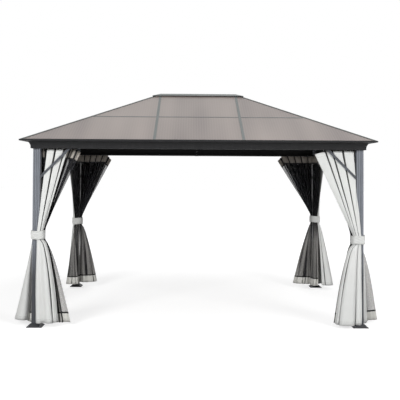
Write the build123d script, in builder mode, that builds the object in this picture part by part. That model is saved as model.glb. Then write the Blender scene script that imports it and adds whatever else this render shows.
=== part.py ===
"""Hardtop garden gazebo: four fluted posts, a hipped roof of twin-wall sheets, tied-back curtains and nets.

Millimetres. +X runs along the long side, the front faces -Y, +Z is up, and the origin is on the ground
under the middle of the roof. Every slope has the same pitch, so the hips lie at 45 degrees in plan.
"""

import os
from math import atan, cos, degrees, pi, sin, sqrt

from build123d import *

# Roof outline
ROOF_LENGTH = 4000.0
ROOF_WIDTH = 3000.0
EAVE_TOP = 2100.0
ROOF_RISE = 695.0
EAVE_OVERHANG = 130.0

# Clearances, and how far a cutting tool runs past what it cuts
SEAT_GAP = 0.3
SEAM_GAP = 1.0
OVERRUN = 50.0

# Posts
POST_WIDTH = 78.0
POST_WALL = 2.0
POST_CORNER_RADIUS = 4.0
FLUTE_RADIUS = 6.0
FLUTE_DEPTH = 3.0
FLUTE_SPACING = 19.0
FLUTE_SHARES = (-1, 0, 1)

# Feet
FOOT_WIDTH = 174.0
FOOT_PLATE = 5.0
FOOT_COLLAR_HEIGHT = 31.0
FOOT_COLLAR_WALL = 8.0
FOOT_CORNER_RADIUS = 8.0
FOOT_RIM = 3.0
ANCHOR_SPACING = 130.0
ANCHOR_HOLE_RADIUS = 6.0
ANCHOR_SEAT_RADIUS = 13.0
ANCHOR_SEAT_THICKNESS = 9.0

# Beams with a double curtain track along the inner bottom edge
BEAM_BOTTOM = 2005.0
BEAM_WIDTH = 34.0
BEAM_WALL = 2.0
TRACK_WIDTH = 42.0
TRACK_HEIGHT = 22.0
TRACK_SLOT = 5.0
TRACK_CAVITY_WIDTH = 14.0
TRACK_CAVITY_HEIGHT = 12.0
TRACK_LIP = 4.0
TRACK_PLACE_SHARES = (0.25, 0.75)
JOINER_LENGTH = 60.0
JOINER_THICKNESS = 4.0

# Eave moulding: a lip that grips the roof sheets, a falling soffit and a hollow-curved cornice
EAVE_HEIGHT = 97.0
EAVE_WALL = 2.4
LIP_WIDTH = 12.0
FASCIA_HEIGHT = 14.0
FASCIA_THICKNESS = 4.0
SOFFIT_DEPTH = 82.0
SOFFIT_DROP = 11.0
CORNICE_SPLAY = 23.0
CORNICE_HOLLOW = 9.0
MITRE_GAP = 0.2

# Glazing bars and twin-wall sheets
SHEET_THICKNESS = 6.0
SHEET_EDGE_GAP = 5.0
BAR_WIDTH = 30.0
HIP_WIDTH = 44.0
BAR_DEPTH = 34.0
BAR_FLANGE = 3.0
BAR_WEB = 8.0
BAR_WALL = 1.8
PURLIN_WIDTH = 20.0
PURLIN_FLANGE = 2.0
PURLIN_WEB = 4.0
PURLIN_EDGE_GAP = 2.0
PURLIN_RUN_SHARE = 0.4575

# Ridge hub and ridge cap
HUB_REACH = 48.0
HUB_HEIGHT = 52.0
HUB_LAP = 12.0
CAP_RUN = 105.0
CAP_THICKNESS = 2.5
CAP_LIFT = 12.0

# Knee braces
BRACE_LEG = 345.0
BRACE_DEPTH = 26.0
BRACE_THICKNESS = 18.0
BRACE_GROOVE = 8.0
BRACE_GROOVE_DEPTH = 2.0

# Curtains and nets: how they hang from the tracks, pass the tie and flare to the hem
HANG_GAP = 15.0
CURTAIN_GATHER = 345.0
NET_GATHER = 395.0
FOLD_DEPTH = 36.0
FOLD_GAP = 2.0
CURTAIN_WAIST = 28.0
NET_WAIST = 20.0
NET_STANDOFF = 8.0
WAIST_GAP = 3.0
TIE_HEIGHT = 95.0
TIE_MIDDLE = 1000.0
TIE_THICKNESS = 3.0
HEM_HEIGHT = 40.0
LONG_HEM_START = 48.0
LONG_HEM_END = 268.0
LONG_HEM_OUTER = 96.0
SHORT_HEM_OUT = 262.0
SHORT_HEM_IN = 30.0
SHORT_HEM_START = 60.0
SHORT_HEM_END = 290.0
NET_HEM_START = 100.0
NET_HEM_END = 384.0
NET_HEM_NEAR = 6.0
NET_HEM_FAR = 96.0
INNER_HEM_START = 120.0
INNER_HEM_END = 340.0
OVAL_SIDES = 12

# Where a corner's short net swings out round its short curtain, which stays close to the post
SWING_DROP = 90.0
SWING_START = 86.0
SWING_END = 120.0
SWUNG_HEM_START = 156.0
SWUNG_HEM_END = 316.0
CLOSE_HEM_OUT = 150.0
CLOSE_HEM_START = 50.0
CLOSE_HEM_END = 138.0
SWUNG_CORNERS = ("front_right", "back_left")

# Each corner is tied and falls in its own way: how far its tie sits above the middle, as a share of the tie's
# height, then how far along its long curtain's hem ends and its long net's hem starts and ends
TIE_LIFT_SHARES = {"front_left": 0.3, "front_right": -0.15, "back_left": 0.0, "back_right": 0.45}
HEM_SHARES = {
    "front_left": (0.9, 1.4, 1.0),
    "front_right": (1.0, 0.9, 0.7),
    "back_left": (1.0, 0.6, 0.8),
    "back_right": (1.0, 0.6, 0.9),
}

# Worked out from the sizes above
RUN = ROOF_WIDTH / 2
RIDGE_HALF = (ROOF_LENGTH - ROOF_WIDTH) / 2
SLOPE = ROOF_RISE / RUN
PITCH = atan(SLOPE)
HIP_SLOPE = SLOPE / sqrt(2)
HIP_PITCH = atan(HIP_SLOPE)
RIDGE_DATUM = EAVE_TOP + ROOF_RISE
SHEET_SLOT = SHEET_THICKNESS + 2 * SEAT_GAP
SHEET_EDGE = BAR_WEB / 2 + SHEET_EDGE_GAP
POST_HALF = POST_WIDTH / 2
POST_X = ROOF_LENGTH / 2 - EAVE_OVERHANG - POST_HALF
POST_Y = ROOF_WIDTH / 2 - EAVE_OVERHANG - POST_HALF
SOFFIT_SLOPE = SOFFIT_DROP / SOFFIT_DEPTH
HEEL_CLEAR = (BAR_DEPTH / cos(PITCH) - FASCIA_HEIGHT + EAVE_WALL + SEAT_GAP) / (SLOPE + SOFFIT_SLOPE)
BAR_HEEL = max(LIP_WIDTH, HEEL_CLEAR) + SEAT_GAP
TALL = 2 * (EAVE_TOP + ROOF_RISE)
CLOTH_NEAR = SEAT_GAP + (BEAM_WIDTH + BRACE_THICKNESS) / 2 - POST_HALF + FOLD_GAP
NET_WAIST_NEAR = CLOTH_NEAR + CURTAIN_WAIST + WAIST_GAP

# Each side: the way in from its eave, how far out the eave is, its half-length and the bars' places along it
SIDES = {
    "front": (Vector(0, 1, 0), ROOF_WIDTH / 2, ROOF_LENGTH / 2, (-RIDGE_HALF, RIDGE_HALF)),
    "back": (Vector(0, -1, 0), ROOF_WIDTH / 2, ROOF_LENGTH / 2, (-RIDGE_HALF, RIDGE_HALF)),
    "left": (Vector(1, 0, 0), ROOF_LENGTH / 2, ROOF_WIDTH / 2, (0,)),
    "right": (Vector(-1, 0, 0), ROOF_LENGTH / 2, ROOF_WIDTH / 2, (0,)),
}
UP = Vector(0, 0, 1)

# Each corner, as the directions that lead in from its post along X and along Y
CORNERS = {
    "front_left": (1, 1),
    "front_right": (-1, 1),
    "back_left": (1, -1),
    "back_right": (-1, -1),
}


def save(part, name):
    """Labels a finished piece and writes it as its own file."""
    part.label = name
    export_step(part, f"parts/{name}.step")


def side_plane(side, inset, height):
    """A section plane across a side: local x runs inwards from inset, local y is up from height."""
    inward, reach, _, _ = SIDES[side]
    origin = inward * (inset - reach) + UP * height
    return Plane(origin=origin, x_dir=inward, z_dir=inward.cross(UP))


def along(side, place, inset):
    """The point on the ground at a place along a side's eave and a distance in from it."""
    inward, reach, _, _ = SIDES[side]
    return inward * (inset - reach) + inward.cross(UP) * place


def bar_plane(foot, direction):
    """The section plane of a bar that starts at foot and runs along direction, with local y on its upper side."""
    run = direction.normalized()
    upper = (UP - run * UP.dot(run)).normalized()
    return Plane(origin=foot, x_dir=upper.cross(run), z_dir=run)


def slope_outline(low, high, left, right):
    """A piece of a roof slope between two runs and two edges.

    Each edge is its place along the eave at run zero and how far that place shifts with the run.
    """
    (left_place, left_shift), (right_place, right_shift) = left, right
    narrowing = left_shift - right_shift
    tip = (right_place - left_place) / narrowing if narrowing else high
    top = min(high, tip)
    corners = [
        (left_place + left_shift * low, low),
        (right_place + right_shift * low, low),
        (right_place + right_shift * top, top),
    ]
    if not narrowing or top < tip:
        corners.append((left_place + left_shift * top, top))
    return corners


def sector(side, inset):
    """The plan of one roof slope between its two hips, drawn in by inset from each hip."""
    edge = SIDES[side][2] - inset * sqrt(2)
    return [along(side, place, run) for place, run in slope_outline(0, RUN, (-edge, 1), (edge, -1))]


def bar_outline(width, depth, flange, web, fall):
    """A glazing bar's section: a flange over the sheets, a web between them and a foot under them.

    The flange and the slots fall away to both sides at the tangent fall, to suit the two sheets.
    """
    half, core = width / 2, web / 2
    lean = cos(atan(fall))
    under_flange = flange / lean
    under_slot = (flange + SHEET_SLOT) / lean
    right = [
        (0, 0),
        (half, -half * fall),
        (half, -half * fall - under_flange),
        (core, -core * fall - under_flange),
        (core, -core * fall - under_slot),
        (half, -half * fall - under_slot),
        (half, -depth),
    ]
    return right + [(-x, y) for x, y in reversed(right[1:])]


def flange_outline(width, flange, fall):
    """The flange of a glazing bar by itself."""
    half = width / 2
    under = flange / cos(atan(fall))
    edge = half * fall
    return [(0, 0), (half, -edge), (half, -edge - under), (0, -under), (-half, -edge - under), (-half, -edge)]


def bar_void(width, depth, fall):
    """The hollow of a roof bar, below its slots."""
    half = width / 2
    top = half * fall + (BAR_FLANGE + SHEET_SLOT) / cos(atan(fall)) + BAR_WALL
    bottom = depth - BAR_WALL
    inner = half - BAR_WALL
    return [(-inner, -top), (inner, -top), (inner, -bottom), (-inner, -bottom)]


def hub_outline():
    """The eight-sided hub's face is square to every bar that meets it."""
    return HUB_REACH / cos(atan(1) / 2)


def roof_bar(foot, direction, width, fall, hub_x):
    """One roof bar: its body clears the soffit, its flange runs on to the eave lip, its head butts on the hub."""
    length = direction.length
    heel = LIP_WIDTH + SEAT_GAP
    with BuildPart() as bar:
        with BuildSketch(bar_plane(foot, direction)):
            with BuildLine():
                Polyline(*bar_outline(width, BAR_DEPTH, BAR_FLANGE, BAR_WEB, fall), close=True)
            make_face()
            with BuildLine():
                Polyline(*bar_void(width, BAR_DEPTH, fall), close=True)
            make_face(mode=Mode.SUBTRACT)
        extrude(amount=length)
        Box(ROOF_LENGTH - 2 * BAR_HEEL, ROOF_WIDTH - 2 * BAR_HEEL, TALL, mode=Mode.INTERSECT)
        with BuildSketch(bar_plane(foot, direction)):
            with BuildLine():
                Polyline(*flange_outline(width, BAR_FLANGE, fall), close=True)
            make_face()
        extrude(amount=length)
        Box(ROOF_LENGTH - 2 * heel, ROOF_WIDTH - 2 * heel, TALL, mode=Mode.INTERSECT)
        with BuildSketch(Plane.XY.offset(EAVE_TOP)):
            with Locations((hub_x, 0)):
                RegularPolygon(hub_outline() + SEAT_GAP, side_count=8, rotation=22.5)
        extrude(amount=ROOF_RISE + OVERRUN, mode=Mode.SUBTRACT)
    return bar.part


def make_posts():
    """Fluted square tubes with a plain bore. Each top is cut to the underside of the hip bar that sits on it."""
    bore = POST_WIDTH - 2 * (FLUTE_DEPTH + POST_WALL)
    for name, (in_x, in_y) in CORNERS.items():
        centre = (-in_x * POST_X, -in_y * POST_Y)
        inset = EAVE_OVERHANG + POST_HALF
        seat = EAVE_TOP + inset * SLOPE - BAR_DEPTH / cos(HIP_PITCH) - SEAT_GAP
        lean = Vector(-in_x * sin(HIP_PITCH) / sqrt(2), -in_y * sin(HIP_PITCH) / sqrt(2), cos(HIP_PITCH))
        bottom = FOOT_PLATE + SEAT_GAP
        with BuildPart() as post:
            with BuildSketch(Plane.XY.offset(bottom)):
                with Locations(centre):
                    RectangleRounded(POST_WIDTH, POST_WIDTH, POST_CORNER_RADIUS)
                    for turn in range(4):
                        for share in FLUTE_SHARES:
                            away = POST_HALF + FLUTE_RADIUS - FLUTE_DEPTH
                            flute = Vector(away, share * FLUTE_SPACING, 0).rotate(Axis.Z, 90 * turn)
                            with Locations(flute):
                                Circle(FLUTE_RADIUS, mode=Mode.SUBTRACT)
                    Rectangle(bore, bore, mode=Mode.SUBTRACT)
            extrude(amount=seat + POST_WIDTH - bottom)
            split(bisect_by=Plane(origin=(*centre, seat), z_dir=lean), keep=Keep.BOTTOM)
        save(post.part, f"{name}_post")


def make_feet():
    """Base plates with a flared collar round the post. The anchor holes have six-sided seats that keep a nut still."""
    collar_top = FOOT_PLATE + FOOT_COLLAR_HEIGHT
    collar_width = POST_WIDTH + 2 * (SEAT_GAP + FOOT_COLLAR_WALL)
    flare_width = FOOT_WIDTH - 2 * FOOT_RIM
    flare = degrees(atan((flare_width - collar_width) / 2 / FOOT_COLLAR_HEIGHT))
    for name, (in_x, in_y) in CORNERS.items():
        centre = (-in_x * POST_X, -in_y * POST_Y)
        with BuildPart() as foot:
            with BuildSketch():
                with Locations(centre):
                    RectangleRounded(FOOT_WIDTH, FOOT_WIDTH, FOOT_CORNER_RADIUS)
            extrude(amount=FOOT_PLATE)
            with BuildSketch(Plane.XY.offset(FOOT_PLATE)):
                with Locations(centre):
                    Rectangle(flare_width, flare_width)
            extrude(amount=FOOT_COLLAR_HEIGHT, taper=flare)
            with BuildSketch(Plane.XY.offset(FOOT_PLATE)):
                with Locations(centre):
                    Rectangle(POST_WIDTH + 2 * SEAT_GAP, POST_WIDTH + 2 * SEAT_GAP)
            extrude(amount=FOOT_COLLAR_HEIGHT, mode=Mode.SUBTRACT)
            with BuildSketch():
                with Locations(centre):
                    with GridLocations(ANCHOR_SPACING, ANCHOR_SPACING, 2, 2):
                        Circle(ANCHOR_HOLE_RADIUS)
            extrude(amount=collar_top, mode=Mode.SUBTRACT)
            with BuildSketch(Plane.XY.offset(ANCHOR_SEAT_THICKNESS)):
                with Locations(centre):
                    with GridLocations(ANCHOR_SPACING, ANCHOR_SPACING, 2, 2):
                        RegularPolygon(ANCHOR_SEAT_RADIUS, side_count=6)
            extrude(amount=collar_top, mode=Mode.SUBTRACT)
        save(foot.part, f"{name}_foot")


def beam_outline():
    """A beam's section from the posts' outer face: a box whose top is cut to the roof's pitch."""
    outer, inner = SEAT_GAP, SEAT_GAP + BEAM_WIDTH
    drop = BAR_DEPTH / cos(PITCH) + SEAT_GAP + BEAM_BOTTOM - EAVE_TOP
    tops = [(EAVE_OVERHANG + place) * SLOPE - drop for place in (outer, inner)]
    return [(outer, 0), (inner, 0), (inner, tops[1]), (outer, tops[0])]


def beam_void():
    """The beam's hollow, inside its wall."""
    outer, _, (inner, high), (_, low) = beam_outline()
    return [
        (outer[0] + BEAM_WALL, BEAM_WALL),
        (inner - BEAM_WALL, BEAM_WALL),
        (inner - BEAM_WALL, high - 2 * BEAM_WALL),
        (outer[0] + BEAM_WALL, low - BEAM_WALL),
    ]


def make_beams():
    """Beams between the posts. The long ones are two lengths, joined by a plate under the seam."""
    track_start = SEAT_GAP + BEAM_WIDTH
    track_places = [track_start + TRACK_WIDTH * share for share in TRACK_PLACE_SHARES]
    for side, (_, _, eave_half, _) in SIDES.items():
        half = eave_half - EAVE_OVERHANG - POST_WIDTH - SEAT_GAP
        is_long = side in ("front", "back")
        with BuildPart() as beam:
            with BuildSketch(side_plane(side, EAVE_OVERHANG, BEAM_BOTTOM)):
                with BuildLine():
                    Polyline(*beam_outline(), close=True)
                make_face()
                with BuildLine():
                    Polyline(*beam_void(), close=True)
                make_face(mode=Mode.SUBTRACT)
                with Locations((track_start, 0)):
                    Rectangle(TRACK_WIDTH, TRACK_HEIGHT, align=(Align.MIN, Align.MIN))
                for place in track_places:
                    with Locations((place, TRACK_LIP)):
                        Rectangle(
                            TRACK_CAVITY_WIDTH,
                            TRACK_CAVITY_HEIGHT,
                            align=(Align.CENTER, Align.MIN),
                            mode=Mode.SUBTRACT,
                        )
                    with Locations((place, 0)):
                        Rectangle(TRACK_SLOT, TRACK_LIP, align=(Align.CENTER, Align.MIN), mode=Mode.SUBTRACT)
            extrude(amount=half, both=True)
            if is_long:
                Box(SEAM_GAP, ROOF_WIDTH, TALL, mode=Mode.SUBTRACT)
                with BuildSketch(side_plane(side, EAVE_OVERHANG, BEAM_BOTTOM - SEAT_GAP)):
                    with Locations((SEAT_GAP, 0)):
                        Rectangle(BEAM_WIDTH, JOINER_THICKNESS, align=(Align.MIN, Align.MAX))
                extrude(amount=JOINER_LENGTH / 2, both=True)
        save(beam.part, f"{side}_beam")


def make_eaves():
    """The eave mouldings, mitred at the corners. The long ones are two lengths that meet in the middle."""
    lean = cos(PITCH)
    sheet_top = BAR_FLANGE / lean
    sheet_bottom = (BAR_FLANGE + SHEET_SLOT) / lean
    lip_rise, fascia_rise = LIP_WIDTH * SLOPE, FASCIA_THICKNESS * SLOPE
    cornice_top = FASCIA_HEIGHT + SOFFIT_DROP
    cornice_foot = SOFFIT_DEPTH + CORNICE_SPLAY
    back = EAVE_OVERHANG - SEAT_GAP
    floor = EAVE_WALL - EAVE_HEIGHT
    lip_floor = EAVE_WALL - FASCIA_HEIGHT - LIP_WIDTH * SOFFIT_SLOPE
    soffit_back = EAVE_WALL - cornice_top
    for side, (_, _, eave_half, _) in SIDES.items():
        with BuildPart() as eave:
            with BuildSketch(side_plane(side, 0, EAVE_TOP)):
                with BuildLine():
                    Polyline(
                        (SOFFIT_DEPTH, -cornice_top),
                        (0, -FASCIA_HEIGHT),
                        (0, 0),
                        (LIP_WIDTH, lip_rise),
                        (LIP_WIDTH, lip_rise - sheet_top),
                        (FASCIA_THICKNESS, fascia_rise - sheet_top),
                        (FASCIA_THICKNESS, fascia_rise - sheet_bottom),
                        (LIP_WIDTH, lip_rise - sheet_bottom),
                        (LIP_WIDTH, lip_floor),
                        (SOFFIT_DEPTH + EAVE_WALL, soffit_back),
                    )
                    SagittaArc(
                        (SOFFIT_DEPTH + EAVE_WALL, soffit_back), (cornice_foot + EAVE_WALL, floor), CORNICE_HOLLOW
                    )
                    Polyline(
                        (cornice_foot + EAVE_WALL, floor),
                        (back, floor),
                        (back, -EAVE_HEIGHT),
                        (cornice_foot, -EAVE_HEIGHT),
                    )
                    SagittaArc((cornice_foot, -EAVE_HEIGHT), (SOFFIT_DEPTH, -cornice_top), -CORNICE_HOLLOW)
                make_face()
            extrude(amount=eave_half, both=True)
            with BuildSketch():
                with BuildLine():
                    Polyline(*sector(side, MITRE_GAP / 2), close=True)
                make_face()
            extrude(amount=TALL, mode=Mode.INTERSECT)
            if side in ("front", "back"):
                Box(SEAM_GAP, 2 * ROOF_WIDTH, TALL, mode=Mode.SUBTRACT)
        save(eave.part, f"{side}_eave")


def make_roof_bars():
    """Hip bars over the posts, and common bars from the ridge ends down to every side."""
    for name, (in_x, in_y) in CORNERS.items():
        foot = Vector(-in_x * ROOF_LENGTH / 2, -in_y * ROOF_WIDTH / 2, EAVE_TOP)
        rise = Vector(in_x * RUN, in_y * RUN, ROOF_RISE)
        save(roof_bar(foot, rise, HIP_WIDTH, sin(HIP_PITCH), -in_x * RIDGE_HALF), f"{name}_hip_bar")
    for side, (inward, _, _, places) in SIDES.items():
        for place in places:
            foot = along(side, place, 0) + UP * EAVE_TOP
            rise = inward * RUN + UP * ROOF_RISE
            hub_x = (foot + rise).X
            name = f"{side}_bar" if place == 0 else f"{side}_{'left' if hub_x < 0 else 'right'}_bar"
            save(roof_bar(foot, rise, BAR_WIDTH, 0, hub_x), name)


def make_ridge():
    """The ridge bar, deep enough to lap into the eight-sided hub at each end."""
    hub_drop = hub_outline() * SLOPE + (BAR_FLANGE + SHEET_SLOT) / cos(PITCH) + SEAT_GAP
    depth = hub_drop + HUB_LAP
    with BuildPart() as ridge:
        with BuildSketch(bar_plane(Vector(0, 0, RIDGE_DATUM), Vector(1, 0, 0))):
            with BuildLine():
                Polyline(*bar_outline(BAR_WIDTH, depth, BAR_FLANGE, BAR_WEB, SLOPE), close=True)
            make_face()
            with BuildLine():
                Polyline(*bar_void(BAR_WIDTH, depth, SLOPE), close=True)
            make_face(mode=Mode.SUBTRACT)
        extrude(amount=RIDGE_HALF, both=True)
        with BuildSketch(Plane.XY.offset(RIDGE_DATUM - hub_drop)):
            with Locations((-RIDGE_HALF, 0), (RIDGE_HALF, 0)):
                RegularPolygon(hub_outline(), side_count=8, rotation=22.5)
        extrude(amount=-HUB_HEIGHT)
    save(ridge.part, "ridge_bar")


def cap_form(lift):
    """A small hipped lid over the ridge, its top line at lift above the roof's datum."""
    fall = CAP_RUN * SLOPE - CAP_LIFT
    end = RIDGE_HALF + CAP_RUN
    base = RIDGE_DATUM + lift - fall
    with BuildPart() as form:
        with BuildSketch(Plane.YZ.offset(-end)):
            with BuildLine():
                Polyline((-CAP_RUN, base), (CAP_RUN, base), (0, base + fall), close=True)
            make_face()
        extrude(amount=2 * end)
        for way in (-1, 1):
            slant = Plane(origin=(way * end, 0, base), z_dir=(way * fall, 0, CAP_RUN))
            split(bisect_by=slant, keep=Keep.BOTTOM)
    return form.part


def make_ridge_cap():
    """A folded sheet cap. Its pitch is a little flatter than the roof's, so its edges stand clear for air."""
    outer, inner = cap_form(SEAT_GAP + CAP_THICKNESS), cap_form(SEAT_GAP)
    with BuildPart() as cap:
        add(outer)
        add(inner, mode=Mode.SUBTRACT)
    save(cap.part, "ridge_cap")


def make_purlins():
    """Slim bars across each slope that join the lower sheets to the upper ones, cut between the roof bars."""
    inset = PURLIN_RUN_SHARE * RUN
    lowered = (BAR_FLANGE - PURLIN_FLANGE) / cos(PITCH)
    depth = 2 * PURLIN_FLANGE + SHEET_SLOT
    gap = BAR_WIDTH + 2 * SEAT_GAP
    for side, (inward, _, eave_half, places) in SIDES.items():
        run = inward.cross(UP)
        upper = (UP - inward * SLOPE).normalized()
        middle = along(side, 0, inset) + UP * (EAVE_TOP + inset * SLOPE - lowered)
        with BuildPart() as purlin:
            with BuildSketch(Plane(origin=middle, x_dir=upper.cross(run), z_dir=run)):
                with BuildLine():
                    Polyline(*bar_outline(PURLIN_WIDTH, depth, PURLIN_FLANGE, PURLIN_WEB, 0), close=True)
                make_face()
            extrude(amount=eave_half, both=True)
            with BuildSketch():
                with BuildLine():
                    Polyline(*sector(side, HIP_WIDTH / 2 + SEAT_GAP), close=True)
                make_face()
            extrude(amount=TALL, mode=Mode.INTERSECT)
            for place in places:
                centre = along(side, place, inset)
                size = [gap, ROOF_WIDTH / 2] if run.X else [ROOF_LENGTH / 2, gap]
                with Locations(centre):
                    Box(*size, TALL, mode=Mode.SUBTRACT)
        save(purlin.part, f"{side}_purlins")


def make_sheets():
    """The twin-wall sheets of each slope, in a lower and an upper row between the bars."""
    purlin_run = PURLIN_RUN_SHARE * RUN
    purlin_edge = (PURLIN_WEB / 2 + PURLIN_EDGE_GAP) * cos(PITCH)
    rows = (
        (FASCIA_THICKNESS + SEAT_GAP, purlin_run - purlin_edge),
        (purlin_run + purlin_edge, RUN - SHEET_EDGE),
    )
    hip_edge = SHEET_EDGE * sqrt(2)
    for side, (inward, _, eave_half, places) in SIDES.items():
        edges = [(hip_edge - eave_half, 1)]
        for place in places:
            edges += [(place - SHEET_EDGE, 0), (place + SHEET_EDGE, 0)]
        edges.append((eave_half - hip_edge, -1))
        upper = (UP - inward * SLOPE).normalized()
        foot = along(side, 0, 0) + UP * EAVE_TOP - upper * (BAR_FLANGE + SEAT_GAP)
        plane = Plane(origin=foot, x_dir=inward.cross(UP), z_dir=upper)
        with BuildPart() as sheets:
            with BuildSketch(plane):
                for low, high in rows:
                    for left, right in zip(edges[::2], edges[1::2]):
                        corners = slope_outline(low, high, left, right)
                        with BuildLine():
                            Polyline(*[(place, run / cos(PITCH)) for place, run in corners], close=True)
                        make_face()
            extrude(amount=-SHEET_THICKNESS)
        save(sheets.part, f"{side}_roof_sheets")


def make_braces():
    """Two grooved knee braces at each post, one under each beam."""
    cut = BRACE_DEPTH * sqrt(2)
    place = SEAT_GAP + BEAM_WIDTH / 2 - POST_HALF
    for name, (in_x, in_y) in CORNERS.items():
        post = Vector(-in_x * POST_X, -in_y * POST_Y, BEAM_BOTTOM)
        in_from_x, in_from_y = Vector(in_x, 0, 0), Vector(0, in_y, 0)
        with BuildPart() as braces:
            for away, across in ((in_from_x, in_from_y), (in_from_y, in_from_x)):
                origin = post + away * POST_HALF + across * place
                plane = Plane(origin=origin, x_dir=away, z_dir=away.cross(UP))
                with BuildSketch(plane):
                    with BuildLine():
                        Polyline(
                            (SEAT_GAP, -BRACE_LEG),
                            (BRACE_LEG, -SEAT_GAP),
                            (BRACE_LEG - cut, -SEAT_GAP),
                            (SEAT_GAP, cut - BRACE_LEG),
                            close=True,
                        )
                    make_face()
                extrude(amount=BRACE_THICKNESS / 2, both=True)
                for way in (-1, 1):
                    face = plane.offset(way * (BRACE_THICKNESS / 2 - BRACE_GROOVE_DEPTH))
                    with BuildSketch(face):
                        with Locations(Location(((BRACE_LEG - cut / 2) / 2, (cut / 2 - BRACE_LEG) / 2), 45)):
                            Rectangle(2 * BRACE_LEG, BRACE_GROOVE)
                    extrude(amount=way * BRACE_GROOVE_DEPTH, mode=Mode.SUBTRACT)
        save(braces.part, f"{name}_braces")


def oval(low, high):
    """A many-sided oval between two corners, whose sides keep the same directions whatever its shape.

    Each side touches the ellipse that fills the corners' box, so the walls between two such ovals are flat.
    """
    half = (high - low) / 2
    step = 2 * pi / OVAL_SIDES
    turns = [step * side for side in range(OVAL_SIDES + 1)]
    reach = [sqrt((half.X * cos(turn)) ** 2 + (half.Y * sin(turn)) ** 2) for turn in turns]
    corners = []
    for side in range(OVAL_SIDES):
        this, after = turns[side], turns[side + 1]
        out_x = reach[side] * sin(after) - reach[side + 1] * sin(this)
        out_y = reach[side + 1] * cos(this) - reach[side] * cos(after)
        corners.append((low + high) / 2 + Vector(out_x, out_y, 0) / sin(step))
    return corners


def drape(way, levels):
    """A gathered cloth as one solid between ovals: each level is a height and the oval's four limits.

    The limits are distances in from the post's middle, along X and along Y.
    """
    in_x, in_y = way
    rings = []
    for height, x_low, x_high, y_low, y_high in levels:
        corners = oval(Vector(x_low - POST_X, y_low - POST_Y), Vector(x_high - POST_X, y_high - POST_Y))
        rings.append([(in_x * corner.X, in_y * corner.Y, height) for corner in corners])
    with BuildPart() as cloth:
        for upper, lower in zip(rings, rings[1:]):
            ConvexPolyhedron(upper + lower)
    return cloth.part


def tie_middle(corner):
    """How high a corner's tie sits."""
    return TIE_MIDDLE + TIE_LIFT_SHARES[corner] * TIE_HEIGHT


def drape_levels(corner, hang, waist, hem, swing=None):
    """The levels of a drape: where it hangs, its tied waist, where it swings out if it does, and its hem."""
    waist_top = tie_middle(corner) + TIE_HEIGHT / 2
    waist_low = waist_top - TIE_HEIGHT
    levels = [(BEAM_BOTTOM - SEAT_GAP, *hang), (waist_top, *waist), (waist_low, *waist)]
    if swing:
        levels.append((waist_low - SWING_DROP, *swing))
    return levels + [(HEM_HEIGHT, *hem)]


def turned(limits):
    """The same limits for the neighbouring side of the corner, with X and Y exchanged."""
    return (*limits[2:], *limits[:2])


def make_cloths():
    """At each corner a curtain and a net from each side, drawn to the post and held by a tie."""
    start = POST_HALF + HANG_GAP
    net_near = CLOTH_NEAR + FOLD_DEPTH + FOLD_GAP
    curtain_hang = (start, start + CURTAIN_GATHER, CLOTH_NEAR, CLOTH_NEAR + FOLD_DEPTH)
    net_hang = (start, start + NET_GATHER, net_near, net_near + FOLD_DEPTH)
    curtain_start, net_start = POST_HALF + WAIST_GAP, POST_HALF + NET_STANDOFF
    curtain_waist = (curtain_start, curtain_start + CURTAIN_WAIST, CLOTH_NEAR, CLOTH_NEAR + CURTAIN_WAIST)
    net_waist = (net_start, net_start + NET_WAIST, NET_WAIST_NEAR, NET_WAIST_NEAR + NET_WAIST)
    for corner, way in CORNERS.items():
        curtain_end_share, net_start_share, net_end_share = HEM_SHARES[corner]
        curtain_hem = (LONG_HEM_START, LONG_HEM_END * curtain_end_share, -LONG_HEM_OUTER, -NET_HEM_NEAR)
        net_hem = (NET_HEM_START * net_start_share, NET_HEM_END * net_end_share, NET_HEM_NEAR, NET_HEM_FAR)
        if corner in SWUNG_CORNERS:
            short_curtain_hem = (-CLOSE_HEM_OUT, -SHORT_HEM_IN, CLOSE_HEM_START, CLOSE_HEM_END)
            short_net_hem = (-SHORT_HEM_OUT, -SHORT_HEM_IN, SWUNG_HEM_START, SWUNG_HEM_END)
            swing = (NET_WAIST_NEAR, NET_WAIST_NEAR + NET_WAIST, SWING_START, SWING_END)
        else:
            short_curtain_hem = (-SHORT_HEM_OUT, -SHORT_HEM_IN, SHORT_HEM_START, SHORT_HEM_END)
            short_net_hem = (NET_HEM_NEAR, NET_HEM_FAR, INNER_HEM_START, INNER_HEM_END)
            swing = None
        with BuildPart() as curtains:
            add(drape(way, drape_levels(corner, curtain_hang, curtain_waist, curtain_hem)))
            add(drape(way, drape_levels(corner, turned(curtain_hang), turned(curtain_waist), short_curtain_hem)))
        save(curtains.part, f"{corner}_curtains")
        with BuildPart() as nets:
            add(drape(way, drape_levels(corner, net_hang, net_waist, net_hem)))
            add(drape(way, drape_levels(corner, turned(net_hang), turned(net_waist), short_net_hem, swing)))
        save(nets.part, f"{corner}_nets")


def make_ties():
    """A band of curtain cloth round each post and the four gathered waists beside it."""
    near = -POST_HALF - SEAT_GAP
    far = POST_HALF + 2 * WAIST_GAP + CURTAIN_WAIST
    net_middle = POST_HALF + NET_STANDOFF + NET_WAIST_NEAR + NET_WAIST
    corner = net_middle + NET_WAIST / sqrt(2) + WAIST_GAP - far
    loop = [(near, near), (far, near), (far, corner), (corner, far), (near, far)]
    for name, (in_x, in_y) in CORNERS.items():
        points = [(in_x * (x - POST_X), in_y * (y - POST_Y)) for x, y in loop]
        with BuildPart() as tie:
            with BuildSketch(Plane.XY.offset(tie_middle(name) - TIE_HEIGHT / 2)):
                with BuildLine():
                    Polyline(*points, close=True)
                make_face()
                offset(amount=TIE_THICKNESS, kind=Kind.ARC)
                with BuildLine():
                    Polyline(*points, close=True)
                make_face(mode=Mode.SUBTRACT)
            extrude(amount=TIE_HEIGHT)
        save(tie.part, f"{name}_tie")


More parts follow.
